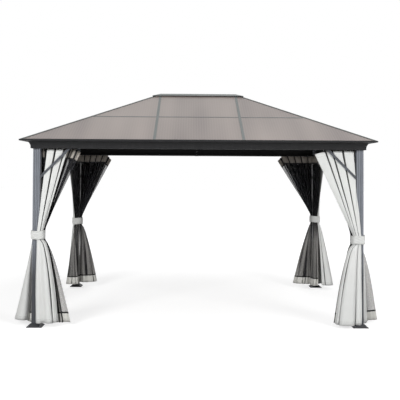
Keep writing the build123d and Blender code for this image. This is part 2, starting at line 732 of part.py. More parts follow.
def main():
    os.makedirs("parts", exist_ok=True)
    make_posts()
    make_feet()
    make_beams()
    make_eaves()
    make_roof_bars()
    make_ridge()
    make_ridge_cap()
    make_purlins()
    make_sheets()
    make_braces()
    make_cloths()
    make_ties()


main()
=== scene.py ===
import math

import bpy
import numpy as np
from mathutils import Matrix, Vector


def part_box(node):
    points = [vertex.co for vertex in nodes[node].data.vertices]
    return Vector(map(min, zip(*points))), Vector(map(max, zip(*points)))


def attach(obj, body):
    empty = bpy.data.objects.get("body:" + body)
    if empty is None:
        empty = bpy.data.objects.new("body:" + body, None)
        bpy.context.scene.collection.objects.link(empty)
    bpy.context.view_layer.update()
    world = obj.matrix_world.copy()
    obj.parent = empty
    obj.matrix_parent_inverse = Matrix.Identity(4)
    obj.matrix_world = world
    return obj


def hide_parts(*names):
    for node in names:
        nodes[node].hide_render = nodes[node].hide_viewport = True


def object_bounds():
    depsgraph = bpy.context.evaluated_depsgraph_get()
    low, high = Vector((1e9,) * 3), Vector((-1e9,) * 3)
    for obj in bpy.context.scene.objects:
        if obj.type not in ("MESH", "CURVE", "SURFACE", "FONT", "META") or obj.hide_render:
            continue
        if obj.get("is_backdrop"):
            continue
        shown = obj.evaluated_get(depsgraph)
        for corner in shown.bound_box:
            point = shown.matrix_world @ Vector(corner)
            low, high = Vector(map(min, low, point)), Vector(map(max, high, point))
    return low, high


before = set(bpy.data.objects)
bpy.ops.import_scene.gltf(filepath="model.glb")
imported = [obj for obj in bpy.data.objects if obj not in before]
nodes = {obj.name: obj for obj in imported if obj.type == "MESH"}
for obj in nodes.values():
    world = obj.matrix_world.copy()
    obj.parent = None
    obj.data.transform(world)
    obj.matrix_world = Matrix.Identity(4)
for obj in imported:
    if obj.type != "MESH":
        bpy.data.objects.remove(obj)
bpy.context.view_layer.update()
MM = 0.001
rng = np.random.default_rng(7)

CORNERS = ("front_left", "front_right", "back_left", "back_right")
post_low, post_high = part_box("front_right_post")
POST_MIDDLE = (abs(post_low.x + post_high.x) / 2, abs(post_low.y + post_high.y) / 2, 0.0)
POST_HALF = (post_high.x - post_low.x) / 2 / MM
TRACK_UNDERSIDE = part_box("left_beam")[0].z
# The middle of each corner's post, and the directions that lead in from it along X and along Y.
POST_PLACES = {}
for corner in CORNERS:
    low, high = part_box(f"{corner}_post")
    middle = (low + high) / 2
    POST_PLACES[corner] = (middle, -np.sign(middle.x), -np.sign(middle.y))

# Sizes of what shows in the finishes, in metres, and how strongly it shows, as shares. A wave texture's
# scale is WAVE over the distance between its bands.
WAVE = math.pi / 10
COAT_DRIFT = 350 * MM
STREAK_WIDTH, STREAK_LENGTH = 22 * MM, 900 * MM
# Real orange peel is 1 to 2 mm across; it is drawn at 7 mm so that it shows.
ORANGE_PEEL = 7 * MM
FLUTE_PITCH = 19 * MM
FLUTED_REACH = 30 * MM
# Painted shade on the posts: how dark it makes the flutes, as a share.
FLUTE_SHADE = 0.62
# Painted shade on the posts towards the ground: the heights in metres where it is full and where it ends,
# and how dark it is, as a share.
GROUND_SHADE_FULL, GROUND_SHADE_TOP, GROUND_SHADE_SHARE = 0.55, 1.05, 0.85
# Real ribs in the roof sheets are 6 mm apart; they are drawn 30 mm apart so that they show.
RIB_PITCH = 30 * MM
RIB_TINT = 0.22
# The size of the broad bands of painted reflection on the roof sheets.
BAND_LENGTH, BAND_WIDTH = 2400 * MM, 420 * MM
CLOTH_LENGTH = 2.0
CURTAIN_HEM = 45 * MM
TIE_HEIGHT, TIE_HEM = 95 * MM, 10 * MM
# Real threads are 0.5 mm apart and stitches 3 mm long; they are drawn 4 mm apart and 10 mm long so that
# they show.
THREAD_PITCH = 4 * MM
STITCH_PITCH, STITCH_SHARE, STITCH_REACH = 15 * MM, 0.66, 1.5 * MM
CLOTH_DRIFT = 120 * MM
CREASE = 55 * MM
# How dark the painted shade in the slots between cloth panels is, as a share.
SLOT_SHADE_SHARE = 0.9
# Real net holes are 1.2 mm across; they are drawn 6 mm across so that they show.
NET_PITCH = 6 * MM
NET_OPEN, NET_CLOSED = 0.1, 0.74
NET_BAND = 100 * MM
BINDING = 18 * MM
# Painted light on the nets: the size of its broad paler streaks, and how far down the cloth it starts and is
# full, in metres; above it the net stays dark as in the roof's shade.
NET_STREAK_WIDTH, NET_STREAK_LENGTH = 150 * MM, 1500 * MM
NET_LIGHT_TOP, NET_LIGHT_FULL = 0.95, 1.35
PLATING_CLOUD = 4 * MM
NYLON_DRIFT = 9 * MM

SHEET_DARK, SHEET_LIGHT, SHEET_RIB = "#7c726f", "#a0958f", "#aaa09c"
STITCH_SHADE = "#b4b5ae"
SLOT_SHADE = "#2a2b2b"
NET_THREAD, NET_PAINTED_LIGHT, NET_TAPE_AND_SLOT_SHADE = "#29292d", "#aeaca9", "#19191a"
# The heading band is the same ivory cloth as the hem band, painted taupe as painted shade under the roof.
NET_SHADED_HEADING, NET_HEM = "#aaa49c", "#d6d5d0"


def linear(code):
    """An sRGB hex colour as linear red, green, blue and alpha."""
    parts = [int(code[i : i + 2], 16) / 255 for i in (1, 3, 5)]
    return (*[c / 12.92 if c <= 0.04045 else ((c + 0.055) / 1.055) ** 2.4 for c in parts], 1.0)


def add(tree, kind, wires=None, **settings):
    """Adds a node, sets its settings, and sets or links its sockets."""
    node = tree.nodes.new(kind)
    for name, value in settings.items():
        setattr(node, name, value)
    for socket, value in (wires or {}).items():
        if isinstance(value, bpy.types.NodeSocket):
            tree.links.new(value, node.inputs[socket])
        else:
            node.inputs[socket].default_value = value
    return node


def start_material(name):
    """An empty material with its node tree and its output node."""
    material = bpy.data.materials.new(name)
    material.use_nodes = True
    tree = material.node_tree
    tree.nodes.clear()
    return material, tree, add(tree, "ShaderNodeOutputMaterial")


def powder_coat(name, colour, faded, roughness, shine=0.5, painted_shade=None):
    """Powder-coated aluminium, sprayed and baked: a satin skin with a faint orange peel, a tone that drifts
    a little along each length, and pale streaks where rain has run down it. On the posts, painted shade
    darkens the flutes, and more painted shade darkens the coat towards the ground."""
    material, tree, output = start_material(name)
    place = add(tree, "ShaderNodeTexCoord").outputs["Object"]
    drift = add(tree, "ShaderNodeTexNoise", {"Vector": place, "Scale": 1 / COAT_DRIFT, "Detail": 3.0})
    streak_scale = (1 / STREAK_WIDTH, 1 / STREAK_WIDTH, 1 / STREAK_LENGTH)
    runs = add(tree, "ShaderNodeMapping", {"Vector": place, "Scale": streak_scale}).outputs["Vector"]
    streak = add(tree, "ShaderNodeTexNoise", {"Vector": runs, "Scale": 1.0, "Detail": 2.0})
    worn = add(
        tree, "ShaderNodeMath", {0: drift.outputs["Fac"], 1: streak.outputs["Fac"]}, operation="MULTIPLY"
    )
    spread = add(tree, "ShaderNodeMapRange", {"Value": worn.outputs[0], "From Min": 0.15, "From Max": 0.38})
    tone = add(
        tree,
        "ShaderNodeMix",
        {"Factor": spread.outputs["Result"], "A": linear(colour), "B": linear(faded)},
        data_type="RGBA",
    )
    # Painted shade along the posts' flutes, and towards the ground.
    if painted_shade:
        off = add(tree, "ShaderNodeVectorMath", {0: place}, operation="ABSOLUTE").outputs["Vector"]
        off = add(tree, "ShaderNodeVectorMath", {0: off, 1: POST_MIDDLE}, operation="SUBTRACT")
        off = add(tree, "ShaderNodeSeparateXYZ", {"Vector": off.outputs["Vector"]}).outputs
        per_metre = 2 * math.pi / FLUTE_PITCH
        flutes = []
        for way in "XY":
            near = add(tree, "ShaderNodeMath", {0: off[way], 1: 0.0, 2: FLUTED_REACH}, operation="COMPARE")
            turns = add(tree, "ShaderNodeMath", {0: off[way], 1: per_metre}, operation="MULTIPLY")
            wave = add(tree, "ShaderNodeMath", {0: turns.outputs[0]}, operation="COSINE")
            both = {0: near.outputs[0], 1: wave.outputs[0]}
            flutes.append(add(tree, "ShaderNodeMath", both, operation="MULTIPLY").outputs[0])
        flutes = add(tree, "ShaderNodeMath", {0: flutes[0], 1: flutes[1]}, operation="ADD")
        flutes = add(
            tree,
            "ShaderNodeMapRange",
            {"Value": flutes.outputs[0], "From Min": -0.9, "From Max": 1.0, "To Max": FLUTE_SHADE},
        )
        # Painted shade, darker towards the ground.
        ground_shade = add(
            tree,
            "ShaderNodeMapRange",
            {
                "Value": off["Z"],
                "From Min": GROUND_SHADE_FULL,
                "From Max": GROUND_SHADE_TOP,
                "To Min": GROUND_SHADE_SHARE,
                "To Max": 0.0,
            },
        )
        both = {0: flutes.outputs["Result"], 1: ground_shade.outputs["Result"]}
        painted_shading = add(tree, "ShaderNodeMath", both, operation="MAXIMUM")
        tone = add(
            tree,
            "ShaderNodeMix",
            {"Factor": painted_shading.outputs[0], "A": tone.outputs["Result"], "B": linear(painted_shade)},
            data_type="RGBA",
        )
    peel = add(tree, "ShaderNodeTexNoise", {"Vector": place, "Scale": 1 / ORANGE_PEEL, "Detail": 2.0})
    bump = add(tree, "ShaderNodeBump", {"Height": peel.outputs["Fac"], "Strength": 0.08, "Distance": MM})
    satin = add(
        tree,
        "ShaderNodeMapRange",
        {"Value": spread.outputs["Result"], "To Min": roughness - 0.05, "To Max": roughness + 0.1},
    )
    shader = add(
        tree,
        "ShaderNodeBsdfPrincipled",
        {
            "Base Color": tone.outputs["Result"],
            "Roughness": satin.outputs["Result"],
            "IOR": 1.5,
            "Specular IOR Level": shine,
            "Normal": bump.outputs["Normal"],
        },
    )
    tree.links.new(shader.outputs["BSDF"], output.inputs["Surface"])
    return material


def twin_wall(name, across):
    """Bronze twin-wall polycarbonate, extruded: glossy skins over ribs that run down the slope, which draw
    fine lines, and broad soft bands of painted reflection, lighter and darker, along the ribs."""
    material, tree, output = start_material(name)
    place = add(tree, "ShaderNodeTexCoord").outputs["Object"]
    # Painted reflection in broad bands, lighter and darker.
    band_scale = [1 / BAND_LENGTH] * 3
    band_scale["XY".index(across)] = 1 / BAND_WIDTH
    bands = add(tree, "ShaderNodeMapping", {"Vector": place, "Scale": band_scale}).outputs["Vector"]
    drift = add(tree, "ShaderNodeTexNoise", {"Vector": bands, "Scale": 1.0, "Detail": 1.0}).outputs["Fac"]
    spread = add(tree, "ShaderNodeMapRange", {"Value": drift, "From Min": 0.3, "From Max": 0.7})
    tone = add(
        tree,
        "ShaderNodeMix",
        {"Factor": spread.outputs["Result"], "A": linear(SHEET_DARK), "B": linear(SHEET_LIGHT)},
        data_type="RGBA",
    )
    ribs = add(
        tree, "ShaderNodeTexWave", {"Vector": place, "Scale": WAVE / RIB_PITCH}, bands_direction=across
    )
    lined = add(
        tree,
        "ShaderNodeMix",
        {"Factor": ribs.outputs["Fac"], "A": tone.outputs["Result"], "B": linear(SHEET_RIB)},
        data_type="RGBA",
    )
    ribbed = add(
        tree,
        "ShaderNodeMix",
        {"Factor": RIB_TINT, "A": tone.outputs["Result"], "B": lined.outputs["Result"]},
        data_type="RGBA",
    )
    bump = add(tree, "ShaderNodeBump", {"Height": ribs.outputs["Fac"], "Strength": 0.12, "Distance": MM})
    shader = add(
        tree,
        "ShaderNodeBsdfPrincipled",
        {
            "Base Color": ribbed.outputs["Result"],
            "Roughness": 0.32,
            "IOR": 1.58,
            "Transmission Weight": 0.2,
            "Normal": bump.outputs["Normal"],
        },
    )
    tree.links.new(shader.outputs["BSDF"], output.inputs["Surface"])
    return material


def woven(name, colour, shade, length, hem):
    """Woven polyester: matt, with a plain weave, soft creases, a stitched hem along its top and bottom, and
    painted shade in the slots between its panels."""
    material, tree, output = start_material(name)
    spot = add(tree, "ShaderNodeTexCoord").outputs
    cloth = add(tree, "ShaderNodeSeparateXYZ", {"Vector": spot["UV"]})
    over, down = cloth.outputs["X"], cloth.outputs["Y"]
    drift = add(
        tree, "ShaderNodeTexNoise", {"Vector": spot["Object"], "Scale": 1 / CLOTH_DRIFT, "Detail": 4.0}
    )
    tone = add(
        tree,
        "ShaderNodeMix",
        {"Factor": drift.outputs["Fac"], "A": linear(colour), "B": linear(shade)},
        data_type="RGBA",
    )
    upper = add(tree, "ShaderNodeMath", {0: down, 1: hem, 2: STITCH_REACH}, operation="COMPARE")
    lower = add(tree, "ShaderNodeMath", {0: down, 1: length - hem, 2: STITCH_REACH}, operation="COMPARE")
    rows = add(tree, "ShaderNodeMath", {0: upper.outputs[0], 1: lower.outputs[0]}, operation="ADD")
    count = add(tree, "ShaderNodeMath", {0: over, 1: STITCH_PITCH}, operation="DIVIDE")
    part = add(tree, "ShaderNodeMath", {0: count.outputs[0]}, operation="FRACT")
    dash = add(tree, "ShaderNodeMath", {0: part.outputs[0], 1: STITCH_SHARE}, operation="LESS_THAN")
    stitch = add(tree, "ShaderNodeMath", {0: rows.outputs[0], 1: dash.outputs[0]}, operation="MULTIPLY")
    sewn = add(
        tree,
        "ShaderNodeMix",
        {"Factor": stitch.outputs[0], "A": tone.outputs["Result"], "B": linear(STITCH_SHADE)},
        data_type="RGBA",
    )
    # Painted shade: the cloth that shows in the slots between panels is painted dark.
    in_slot = add(tree, "ShaderNodeAttribute", attribute_name="in_slot").outputs["Fac"]
    painted_shade = add(tree, "ShaderNodeMapRange", {"Value": in_slot, "To Max": SLOT_SHADE_SHARE})
    shaded = add(
        tree,
        "ShaderNodeMix",
        {"Factor": painted_shade.outputs["Result"], "A": sewn.outputs["Result"], "B": linear(SLOT_SHADE)},
        data_type="RGBA",
    )
    threads = {"Vector": spot["UV"], "Scale": WAVE / THREAD_PITCH}
    weft = add(tree, "ShaderNodeTexWave", threads, bands_direction="X")
    warp = add(tree, "ShaderNodeTexWave", threads, bands_direction="Y")
    weave = add(
        tree, "ShaderNodeMath", {0: weft.outputs["Fac"], 1: warp.outputs["Fac"]}, operation="MULTIPLY"
    )
    fine = add(tree, "ShaderNodeBump", {"Height": weave.outputs[0], "Strength": 0.15, "Distance": 0.5 * MM})
    crease = add(
        tree,
        "ShaderNodeTexNoise",
        {"Vector": spot["Object"], "Scale": 1 / CREASE, "Detail": 3.0, "Distortion": 0.6},
    )
    bump = add(
        tree,
        "ShaderNodeBump",
        {
            "Height": crease.outputs["Fac"],
            "Strength": 0.35,
            "Distance": 4 * MM,
            "Normal": fine.outputs["Normal"],
        },
    )
    shader = add(
        tree,
        "ShaderNodeBsdfPrincipled",
        {
            "Base Color": shaded.outputs["Result"],
            "Roughness": 0.85,
            "IOR": 1.5,
            "Sheen Weight": 0.2,
            "Normal": bump.outputs["Normal"],
        },
    )
    tree.links.new(shader.outputs["BSDF"], output.inputs["Surface"])
    return material


def insect_net(name):
    """Knitted polyester net: dark and see-through. Painted shade makes it near-black and solid in the slots
    between its panels, and painted light pales it in broad streaks below the tie. A heading band, taupe in
    painted shade, and an ivory hem band are each sewn on with a black binding tape."""
    material, tree, output = start_material(name)
    spot = add(tree, "ShaderNodeTexCoord").outputs["UV"]
    down = add(tree, "ShaderNodeSeparateXYZ", {"Vector": spot}).outputs["Y"]
    hem_top = CLOTH_LENGTH - NET_BAND
    heading = add(tree, "ShaderNodeMath", {0: down, 1: NET_BAND}, operation="LESS_THAN")
    hem = add(tree, "ShaderNodeMath", {0: down, 1: hem_top}, operation="GREATER_THAN")
    band = add(tree, "ShaderNodeMath", {0: heading.outputs[0], 1: hem.outputs[0]}, operation="ADD")
    half = BINDING / 2
    upper = add(tree, "ShaderNodeMath", {0: down, 1: NET_BAND + half, 2: half}, operation="COMPARE")
    lower = add(tree, "ShaderNodeMath", {0: down, 1: hem_top - half, 2: half}, operation="COMPARE")
    tape = add(tree, "ShaderNodeMath", {0: upper.outputs[0], 1: lower.outputs[0]}, operation="ADD")
    # Painted light: below the tie the net is painted paler in broad streaks.
    net_streak_scale = (1 / NET_STREAK_WIDTH, 1 / NET_STREAK_LENGTH, 1.0)
    runs = add(tree, "ShaderNodeMapping", {"Vector": spot, "Scale": net_streak_scale}).outputs["Vector"]
    folds = add(tree, "ShaderNodeTexNoise", {"Vector": runs, "Scale": 1.0, "Detail": 1.0}).outputs["Fac"]
    folds = add(tree, "ShaderNodeMapRange", {"Value": folds, "From Min": 0.4, "From Max": 0.58})
    below = add(tree, "ShaderNodeMapRange", {"Value": down, "From Min": NET_LIGHT_TOP, "From Max": NET_LIGHT_FULL})
    both = {0: folds.outputs["Result"], 1: below.outputs["Result"]}
    painted_light = add(tree, "ShaderNodeMath", both, operation="MULTIPLY")
    thread = add(
        tree,
        "ShaderNodeMix",
        {"Factor": painted_light.outputs[0], "A": linear(NET_THREAD), "B": linear(NET_PAINTED_LIGHT)},
        data_type="RGBA",
    )
    # The heading band in painted shade, the hem band in its own ivory.
    bands = add(
        tree,
        "ShaderNodeMix",
        {"Factor": hem.outputs[0], "A": linear(NET_SHADED_HEADING), "B": linear(NET_HEM)},
        data_type="RGBA",
    )
    banded = add(
        tree,
        "ShaderNodeMix",
        {"Factor": band.outputs[0], "A": thread.outputs["Result"], "B": bands.outputs["Result"]},
        data_type="RGBA",
    )
    bound = add(
        tree,
        "ShaderNodeMix",
        {"Factor": tape.outputs[0], "A": banded.outputs["Result"], "B": linear(NET_TAPE_AND_SLOT_SHADE)},
        data_type="RGBA",
    )
    # Painted shade: the net in the slots between panels is painted near-black and solid.
    in_slot = add(tree, "ShaderNodeAttribute", attribute_name="in_slot").outputs["Fac"]
    tone = add(
        tree,
        "ShaderNodeMix",
        {"Factor": in_slot, "A": bound.outputs["Result"], "B": linear(NET_TAPE_AND_SLOT_SHADE)},
        data_type="RGBA",
    )
    threads = {"Vector": spot, "Scale": WAVE / NET_PITCH}
    weft = add(tree, "ShaderNodeTexWave", threads, bands_direction="X")
    warp = add(tree, "ShaderNodeTexWave", threads, bands_direction="Y")
    mesh = add(
        tree, "ShaderNodeMath", {0: weft.outputs["Fac"], 1: warp.outputs["Fac"]}, operation="MAXIMUM"
    )
    knit = add(
        tree, "ShaderNodeMapRange", {"Value": mesh.outputs[0], "To Min": NET_OPEN, "To Max": NET_CLOSED}
    )
    solid = add(tree, "ShaderNodeMath", {0: band.outputs[0], 1: tape.outputs[0]}, operation="ADD")
    solid = add(tree, "ShaderNodeMath", {0: solid.outputs[0], 1: in_slot}, operation="MAXIMUM")
    both = {0: solid.outputs[0], 1: knit.outputs["Result"]}
    cover = add(tree, "ShaderNodeMath", both, operation="MAXIMUM", use_clamp=True)
    bump = add(tree, "ShaderNodeBump", {"Height": mesh.outputs[0], "Strength": 0.2, "Distance": 0.5 * MM})
    shader = add(
        tree,
        "ShaderNodeBsdfPrincipled",
        {
            "Base Color": tone.outputs["Result"],
            "Roughness": 0.8,
            "IOR": 1.5,
            "Alpha": cover.outputs[0],
            "Normal": bump.outputs["Normal"],
        },
    )
    tree.links.new(shader.outputs["BSDF"], output.inputs["Surface"])
    return material


def plated_steel(name, colour, dull, roughness):
    """Zinc-plated steel, cold-headed: bright metal with cloudy duller patches in its plating."""
    material, tree, output = start_material(name)
    place = add(tree, "ShaderNodeTexCoord").outputs["Object"]
    cloud = add(tree, "ShaderNodeTexNoise", {"Vector": place, "Scale": 1 / PLATING_CLOUD, "Detail": 3.0})
    tone = add(
        tree,
        "ShaderNodeMix",
        {"Factor": cloud.outputs["Fac"], "A": linear(colour), "B": linear(dull)},
        data_type="RGBA",
    )
    satin = add(
        tree,
        "ShaderNodeMapRange",
        {"Value": cloud.outputs["Fac"], "To Min": roughness - 0.08, "To Max": roughness + 0.12},
    )
    shader = add(
        tree,
        "ShaderNodeBsdfPrincipled",
        {"Base Color": tone.outputs["Result"], "Roughness": satin.outputs["Result"], "Metallic": 1.0},
    )
    tree.links.new(shader.outputs["BSDF"], output.inputs["Surface"])
    return material


def moulded_nylon(name, colour, shade):
    """Injection-moulded nylon: milky white, slightly waxy, with a faint drift of tone."""
    material, tree, output = start_material(name)
    place = add(tree, "ShaderNodeTexCoord").outputs["Object"]
    drift = add(tree, "ShaderNodeTexNoise", {"Vector": place, "Scale": 1 / NYLON_DRIFT, "Detail": 2.0})
    tone = add(
        tree,
        "ShaderNodeMix",
        {"Factor": drift.outputs["Fac"], "A": linear(colour), "B": linear(shade)},
        data_type="RGBA",
    )
    shader = add(
        tree,
        "ShaderNodeBsdfPrincipled",
        {"Base Color": tone.outputs["Result"], "Roughness": 0.45, "IOR": 1.53},
    )
    tree.links.new(shader.outputs["BSDF"], output.inputs["Surface"])
    return material


# The posts' paint carries painted shade in its flutes and towards the ground.
POST_PAINT = powder_coat("satin_grey_powder_coat", "#7f838b", "#91969f", 0.38, painted_shade="#313235")
BRACE_PAINT = powder_coat("satin_mid_grey_powder_coat", "#484a4f", "#585b61", 0.36)
# The feet are painted darker than the posts: painted shade at the ground.
SHADED_FOOT_PAINT = powder_coat("dark_grey_powder_coat_in_painted_shade", "#2c2c2f", "#38383b", 0.5)
# The beams are painted near-black: painted shade under the eaves.
SHADED_BEAM_PAINT = powder_coat("fine_textured_black_grey_powder_coat_in_painted_shade", "#131313", "#191919", 0.55, 0.15)
EAVE_PAINT = powder_coat("fine_textured_anthracite_powder_coat", "#242425", "#2e2e2f", 0.55, 0.2)
HIP_PAINT = powder_coat("dark_green_grey_powder_coat", "#3a3f3e", "#454a49", 0.4)
BAR_PAINT = powder_coat("mid_grey_powder_coat", "#5f6463", "#6a6f6e", 0.4)
LONG_SHEET = twin_wall("bronze_twin_wall_polycarbonate", "X")
END_SHEET = twin_wall("bronze_twin_wall_polycarbonate_ends", "Y")
CURTAIN = woven("ivory_woven_polyester", "#e2e3e1", "#dadbd9", CLOTH_LENGTH, CURTAIN_HEM)
TIE = woven("ivory_woven_tie_band", "#dedfdd", "#d3d4d2", TIE_HEIGHT, TIE_HEM)
NET = insect_net("dark_knitted_insect_net")
BOLT_STEEL = plated_steel("zinc_plated_bolt_steel", "#b4b7bb", "#8d9094", 0.34)
SCREW_STEEL = plated_steel("black_zinc_screw_steel", "#3f4043", "#2b2c2e", 0.38)
GLIDER_NYLON = moulded_nylon("white_moulded_nylon", "#dcdcd6", "#cfcec7")

# The first ending that fits a node's name gives its finish.
PAINTS = {
    "post": POST_PAINT,
    "foot": SHADED_FOOT_PAINT,
    "beam": SHADED_BEAM_PAINT,
    "eave": EAVE_PAINT,
    "hip_bar": HIP_PAINT,
    "bar": BAR_PAINT,
    "cap": BAR_PAINT,
    "braces": BRACE_PAINT,
    "purlins": BAR_PAINT,
    "front_roof_sheets": LONG_SHEET,
    "back_roof_sheets": LONG_SHEET,
    "roof_sheets": END_SHEET,
}
for name, piece in nodes.items():
    paint = next((paint for ending, paint in PAINTS.items() if name.endswith(ending)), None)
    if paint:
        piece.data.materials.clear()
        piece.data.materials.append(paint)


# Cloth: its cut, thickness and heights in metres, then how finely it is drawn and how it lies, in
# millimetres or as shares.
LONG_CUT = (1.65, CLOTH_LENGTH)
SHORT_CUT = (1.27, CLOTH_LENGTH)
CLOTH_THICKNESS, TIE_THICKNESS = 0.8 * MM, 2 * MM
TIE_EDGE = 4 * MM
HEM_Z, HEM_LIFT, LIFT_EASE = 30 * MM, 10 * MM, 1.5
CURVE_STEPS, SIDE_STEP = 40, 0.01
SLOT_SHARE, HEM_SLOT_SHARE = 0.16, 0.06
FACE_ROUNDNESS, HEM_ROUNDNESS = 0.15, 0.45
# Rounding the folds takes some of the cloth's length, so they are laid out for more.
ROUNDING_SHARE = 1.18
NARROWEST_TUCK, WIDEST_TUCK, DEEPEST_TUCK = 0.1, 0.88, 0.9
SLOT_LEAN, SOFTENING = 0.1, 0.15
PANEL_COLUMNS, TUCK_COLUMNS = 12, 4
UPPER_ROWS, TIE_ROWS, LOWER_ROWS = 24, 4, 22
RIPPLE, RIPPLE_COLUMNS = 5.0, 5.5
# Slow waves over and down the cloth, two along its beam and two across, so that no two folds hang alike.
SWAY, SWAY_WAVES = 2.5, ((9, 5), (23, -7), (8, -6), (19, 4))
CRUSH_SPREAD, CRUSH_EASE = (0.7, 1), 0.8
SHIFT_REACH = 0.15
# Past the last hook, the leading edge hangs free and droops.
LAST_HOOK = 0.84
FACE_CLEARANCE, TUCK_CLEARANCE, POST_SQUARENESS = 9, 4, 6
TIE_COLUMNS, TIE_BAND_ROWS = 160, 19
# Creases across a tie: how many there are, how far they slant, how far the cloth puffs out between them,
# and the power that makes the puffs full.
TIE_CREASES = ((8, 3.1, 4.5, 0.7), (5, -1.6, 1.8, 1.0))
TIE_SWELL, TIE_TIGHTNESS = 1.2, 2.0
TIE_WAVES, TIE_WAVE, INNER_WAVE_SHARE = 3, 2.5, 0.8


def evenly(start, end, count):
    """Panels of one width along a track, with slots between them."""
    pitch = (end - start) / (count - SLOT_SHARE)
    return [(start + i * pitch, start + (i + 1 - SLOT_SHARE) * pitch) for i in range(count)]


